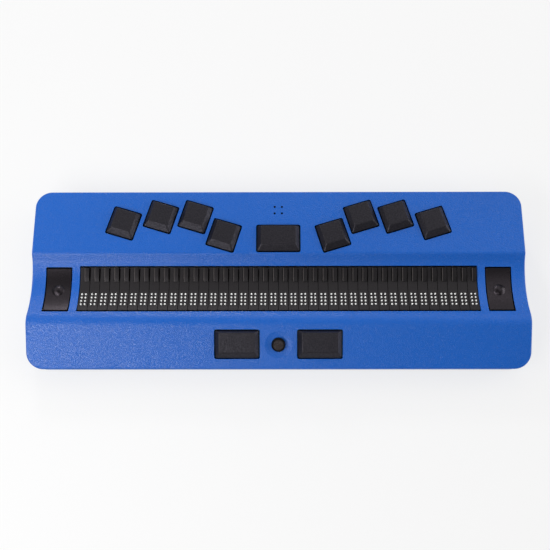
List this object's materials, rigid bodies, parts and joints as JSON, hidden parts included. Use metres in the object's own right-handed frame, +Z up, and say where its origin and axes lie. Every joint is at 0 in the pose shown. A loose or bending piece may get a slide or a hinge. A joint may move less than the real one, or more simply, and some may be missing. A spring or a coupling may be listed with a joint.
{
  "type": "braille display",
  "caption": "Desktop braille display: wave-shaped blue housing with a long row of eight-dot braille cells in its valley, braille keys behind, front keys, a joystick and rocker pads.",
  "frame": {"origin": "centre of the four feet's faces on the table, under the middle of the housing", "axes": "+X along the reading line to the reader's right, +Y away from the reader, +Z up"},
  "size_m": [0.3196, 0.1163, 0.028],
  "materials": {
    "housing_blue": "fine sparkle grain, satin",
    "key_black": "satin",
    "line_black": "semi-matt",
    "dot_white": "smooth",
    "foot_rubber": "matt",
    "board_green": "solder mask",
    "steel": "brushed",
    "chassis_aluminium": "bead blasted",
    "switch_grey": "moulded",
    "battery_wrap": "shrink film",
    "ribbon_amber": "film"
  },
  "bodies": {
    "housing": {"top_shell": "housing_blue", "bottom_shell": "housing_blue", "rubber_feet": "foot_rubber", "cell_modules": "line_black", "cell_chassis": "chassis_aluminium", "cell_backplane": "board_green", "key_switches": "switch_grey", "front_key_switches": "switch_grey", "keyboard_board": "board_green", "front_board": "board_green", "joystick_housing": "switch_grey", "pad_guide_left": "switch_grey", "pad_guide_right": "switch_grey", "battery_pack": "battery_wrap", "main_board": "board_green", "sounder": "switch_grey", "ribbon_cable": "ribbon_amber", "charging_socket": "steel", "power_switch": "switch_grey"},
    "braille_pins_one": {"braille_pins_one": "dot_white"},
    "braille_pins_two": {"braille_pins_two": "dot_white"},
    "braille_pins_three": {"braille_pins_three": "dot_white"},
    "braille_pins_four": {"braille_pins_four": "dot_white"},
    "braille_pins_five": {"braille_pins_five": "dot_white"},
    "braille_pins_six": {"braille_pins_six": "dot_white"},
    "braille_pins_seven": {"braille_pins_seven": "dot_white"},
    "braille_pins_eight": {"braille_pins_eight": "dot_white"},
    "routing_keys_1": {"routing_keys_1": "key_black"},
    "routing_keys_2": {"routing_keys_2": "key_black"},
    "routing_keys_3": {"routing_keys_3": "key_black"},
    "routing_keys_4": {"routing_keys_4": "key_black"},
    "routing_keys_5": {"routing_keys_5": "key_black"},
    "routing_keys_6": {"routing_keys_6": "key_black"},
    "routing_keys_7": {"routing_keys_7": "key_black"},
    "routing_keys_8": {"routing_keys_8": "key_black"},
    "key_one": {"key_one": "key_black"},
    "key_two": {"key_two": "key_black"},
    "key_three": {"key_three": "key_black"},
    "key_four": {"key_four": "key_black"},
    "key_five": {"key_five": "key_black"},
    "key_six": {"key_six": "key_black"},
    "key_seven": {"key_seven": "key_black"},
    "key_eight": {"key_eight": "key_black"},
    "space_key": {"space_key": "key_black"},
    "front_key_left": {"front_key_left": "key_black"},
    "front_key_right": {"front_key_right": "key_black"},
    "pad_carrier_left": {"pad_carrier_left": "switch_grey"},
    "rocker_pad_left": {"rocker_pad_left": "key_black"},
    "pad_carrier_right": {"pad_carrier_right": "switch_grey"},
    "rocker_pad_right": {"rocker_pad_right": "key_black"},
    "joystick_yoke": {"joystick_yoke": "switch_grey"},
    "joystick_stick": {"joystick_stick": "steel"},
    "joystick_knob": {"joystick_knob": "key_black"},
    "power_button": {"power_button": "key_black"}
  },
  "joints": [
    {"name": "pins_one_slide", "type": "slide", "parent": "housing", "child": "braille_pins_one", "axis": [0, 0.2548, 0.967], "range_m": [-0.0007, 0], "stiffness_N_per_m": 300},
    {"name": "pins_two_slide", "type": "slide", "parent": "housing", "child": "braille_pins_two", "axis": [0, 0.2548, 0.967], "range_m": [-0.0007, 0], "stiffness_N_per_m": 300},
    {"name": "pins_three_slide", "type": "slide", "parent": "housing", "child": "braille_pins_three", "axis": [0, 0.2548, 0.967], "range_m": [-0.0007, 0], "stiffness_N_per_m": 300},
    {"name": "pins_four_slide", "type": "slide", "parent": "housing", "child": "braille_pins_four", "axis": [0, 0.2548, 0.967], "range_m": [-0.0007, 0], "stiffness_N_per_m": 300},
    {"name": "pins_five_slide", "type": "slide", "parent": "housing", "child": "braille_pins_five", "axis": [0, 0.2548, 0.967], "range_m": [-0.0007, 0], "stiffness_N_per_m": 300},
    {"name": "pins_six_slide", "type": "slide", "parent": "housing", "child": "braille_pins_six", "axis": [0, 0.2548, 0.967], "range_m": [-0.0007, 0], "stiffness_N_per_m": 300},
    {"name": "pins_seven_slide", "type": "slide", "parent": "housing", "child": "braille_pins_seven", "axis": [0, 0.2548, 0.967], "range_m": [-0.0007, 0], "stiffness_N_per_m": 300},
    {"name": "pins_eight_slide", "type": "slide", "parent": "housing", "child": "braille_pins_eight", "axis": [0, 0.2548, 0.967], "range_m": [-0.0007, 0], "stiffness_N_per_m": 300},
    {"name": "routing_1_press", "type": "slide", "parent": "housing", "child": "routing_keys_1", "axis": [0, 0.1664, -0.9861], "range_m": [0, 0.0005], "stiffness_N_per_m": 600},
    {"name": "routing_2_press", "type": "slide", "parent": "housing", "child": "routing_keys_2", "axis": [0, 0.1664, -0.9861], "range_m": [0, 0.0005], "stiffness_N_per_m": 600},
    {"name": "routing_3_press", "type": "slide", "parent": "housing", "child": "routing_keys_3", "axis": [0, 0.1664, -0.9861], "range_m": [0, 0.0005], "stiffness_N_per_m": 600},
    {"name": "routing_4_press", "type": "slide", "parent": "housing", "child": "routing_keys_4", "axis": [0, 0.1664, -0.9861], "range_m": [0, 0.0005], "stiffness_N_per_m": 600},
    {"name": "routing_5_press", "type": "slide", "parent": "housing", "child": "routing_keys_5", "axis": [0, 0.1664, -0.9861], "range_m": [0, 0.0005], "stiffness_N_per_m": 600},
    {"name": "routing_6_press", "type": "slide", "parent": "housing", "child": "routing_keys_6", "axis": [0, 0.1664, -0.9861], "range_m": [0, 0.0005], "stiffness_N_per_m": 600},
    {"name": "routing_7_press", "type": "slide", "parent": "housing", "child": "routing_keys_7", "axis": [0, 0.1664, -0.9861], "range_m": [0, 0.0005], "stiffness_N_per_m": 600},
    {"name": "routing_8_press", "type": "slide", "parent": "housing", "child": "routing_keys_8", "axis": [0, 0.1664, -0.9861], "range_m": [0, 0.0005], "stiffness_N_per_m": 600},
    {"name": "key_one_press", "type": "slide", "parent": "housing", "child": "key_one", "axis": [0, 0, -1], "range_m": [0, 0.0025], "stiffness_N_per_m": 200},
    {"name": "key_two_press", "type": "slide", "parent": "housing", "child": "key_two", "axis": [0, 0, -1], "range_m": [0, 0.0025], "stiffness_N_per_m": 200},
    {"name": "key_three_press", "type": "slide", "parent": "housing", "child": "key_three", "axis": [0, 0, -1], "range_m": [0, 0.0025], "stiffness_N_per_m": 200},
    {"name": "key_four_press", "type": "slide", "parent": "housing", "child": "key_four", "axis": [0, 0, -1], "range_m": [0, 0.0025], "stiffness_N_per_m": 200},
    {"name": "key_five_press", "type": "slide", "parent": "housing", "child": "key_five", "axis": [0, 0, -1], "range_m": [0, 0.0025], "stiffness_N_per_m": 200},
    {"name": "key_six_press", "type": "slide", "parent": "housing", "child": "key_six", "axis": [0, 0, -1], "range_m": [0, 0.0025], "stiffness_N_per_m": 200},
    {"name": "key_seven_press", "type": "slide", "parent": "housing", "child": "key_seven", "axis": [0, 0, -1], "range_m": [0, 0.0025], "stiffness_N_per_m": 200},
    {"name": "key_eight_press", "type": "slide", "parent": "housing", "child": "key_eight", "axis": [0, 0, -1], "range_m": [0, 0.0025], "stiffness_N_per_m": 200},
    {"name": "space_key_press", "type": "slide", "parent": "housing", "child": "space_key", "axis": [0, 0, -1], "range_m": [0, 0.0025], "stiffness_N_per_m": 220},
    {"name": "front_key_left_press", "type": "slide", "parent": "housing", "child": "front_key_left", "axis": [0, 0.3616, -0.9323], "range_m": [0, 0.0025], "stiffness_N_per_m": 220},
    {"name": "front_key_right_press", "type": "slide", "parent": "housing", "child": "front_key_right", "axis": [0, 0.3616, -0.9323], "range_m": [0, 0.0025], "stiffness_N_per_m": 220},
    {"name": "pad_left_press", "type": "slide", "parent": "housing", "child": "pad_carrier_left", "axis": [0, 0, -1], "range_m": [0, 0.0008], "stiffness_N_per_m": 1500},
    {"name": "pad_left_rock", "type": "hinge", "parent": "pad_carrier_left", "child": "rocker_pad_left", "pos_m": [-0.1422, -0.0081, 0.0126], "axis": [1, 0, 0], "range_deg": [-2.5, 2.5], "stiffness_Nm_per_rad": 0.3},
    {"name": "pad_right_press", "type": "slide", "parent": "housing", "child": "pad_carrier_right", "axis": [0, 0, -1], "range_m": [0, 0.0008], "stiffness_N_per_m": 1500},
    {"name": "pad_right_rock", "type": "hinge", "parent": "pad_carrier_right", "child": "rocker_pad_right", "pos_m": [0.1422, -0.0081, 0.0126], "axis": [1, 0, 0], "range_deg": [-2.5, 2.5], "stiffness_Nm_per_rad": 0.3},
    {"name": "joystick_tilt_front", "type": "hinge", "parent": "housing", "child": "joystick_yoke", "pos_m": [0, -0.04053, 0.01296], "axis": [1, 0, 0], "range_deg": [-8, 8], "stiffness_Nm_per_rad": 0.03},
    {"name": "joystick_tilt_side", "type": "hinge", "parent": "joystick_yoke", "child": "joystick_stick", "pos_m": [0, -0.04053, 0.01296], "axis": [0, 0.9323, 0.3616], "range_deg": [-8, 8], "stiffness_Nm_per_rad": 0.03},
    {"name": "joystick_press", "type": "slide", "parent": "joystick_stick", "child": "joystick_knob", "axis": [0, 0.3616, -0.9323], "range_m": [0, 0.00035], "stiffness_N_per_m": 600},
    {"name": "power_press", "type": "slide", "parent": "housing", "child": "power_button", "axis": [0, -1, 0], "range_m": [0, 0.0005], "stiffness_N_per_m": 800}
  ]
}
